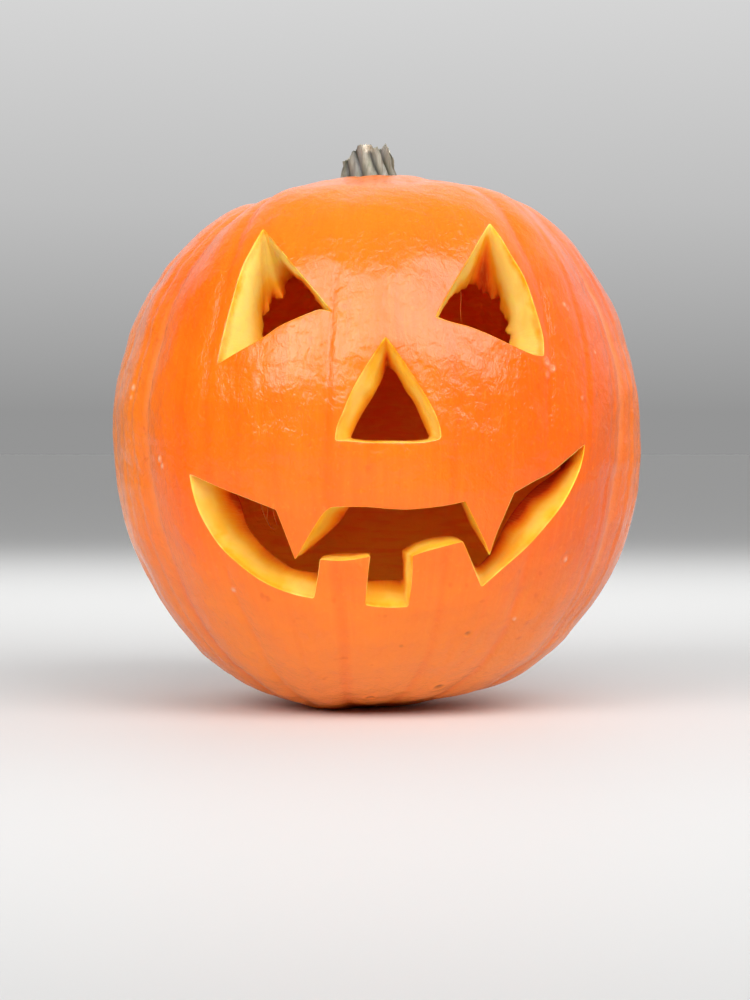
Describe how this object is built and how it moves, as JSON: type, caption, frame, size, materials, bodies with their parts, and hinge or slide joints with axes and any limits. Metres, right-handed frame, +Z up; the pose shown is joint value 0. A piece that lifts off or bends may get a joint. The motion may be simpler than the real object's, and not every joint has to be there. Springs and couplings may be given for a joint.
{
  "type": "carved pumpkin lantern",
  "caption": "Hollow ribbed pumpkin with a short woody stem and a carved face: slanted eyes, a three-cornered nose and a fanged, toothed grin. Stands on its base, with room inside for a candle.",
  "frame": {"origin": "on the surface it stands on, under the middle of the pumpkin's box", "axes": "+Z up through the stem, -Y the way the face looks, +X to the right for someone facing the face"},
  "size_m": [0.27, 0.266, 0.2862],
  "materials": {
    "pumpkin": "satin"
  },
  "bodies": {
    "root": {"pumpkin_lantern": "pumpkin"}
  },
  "joints": []
}
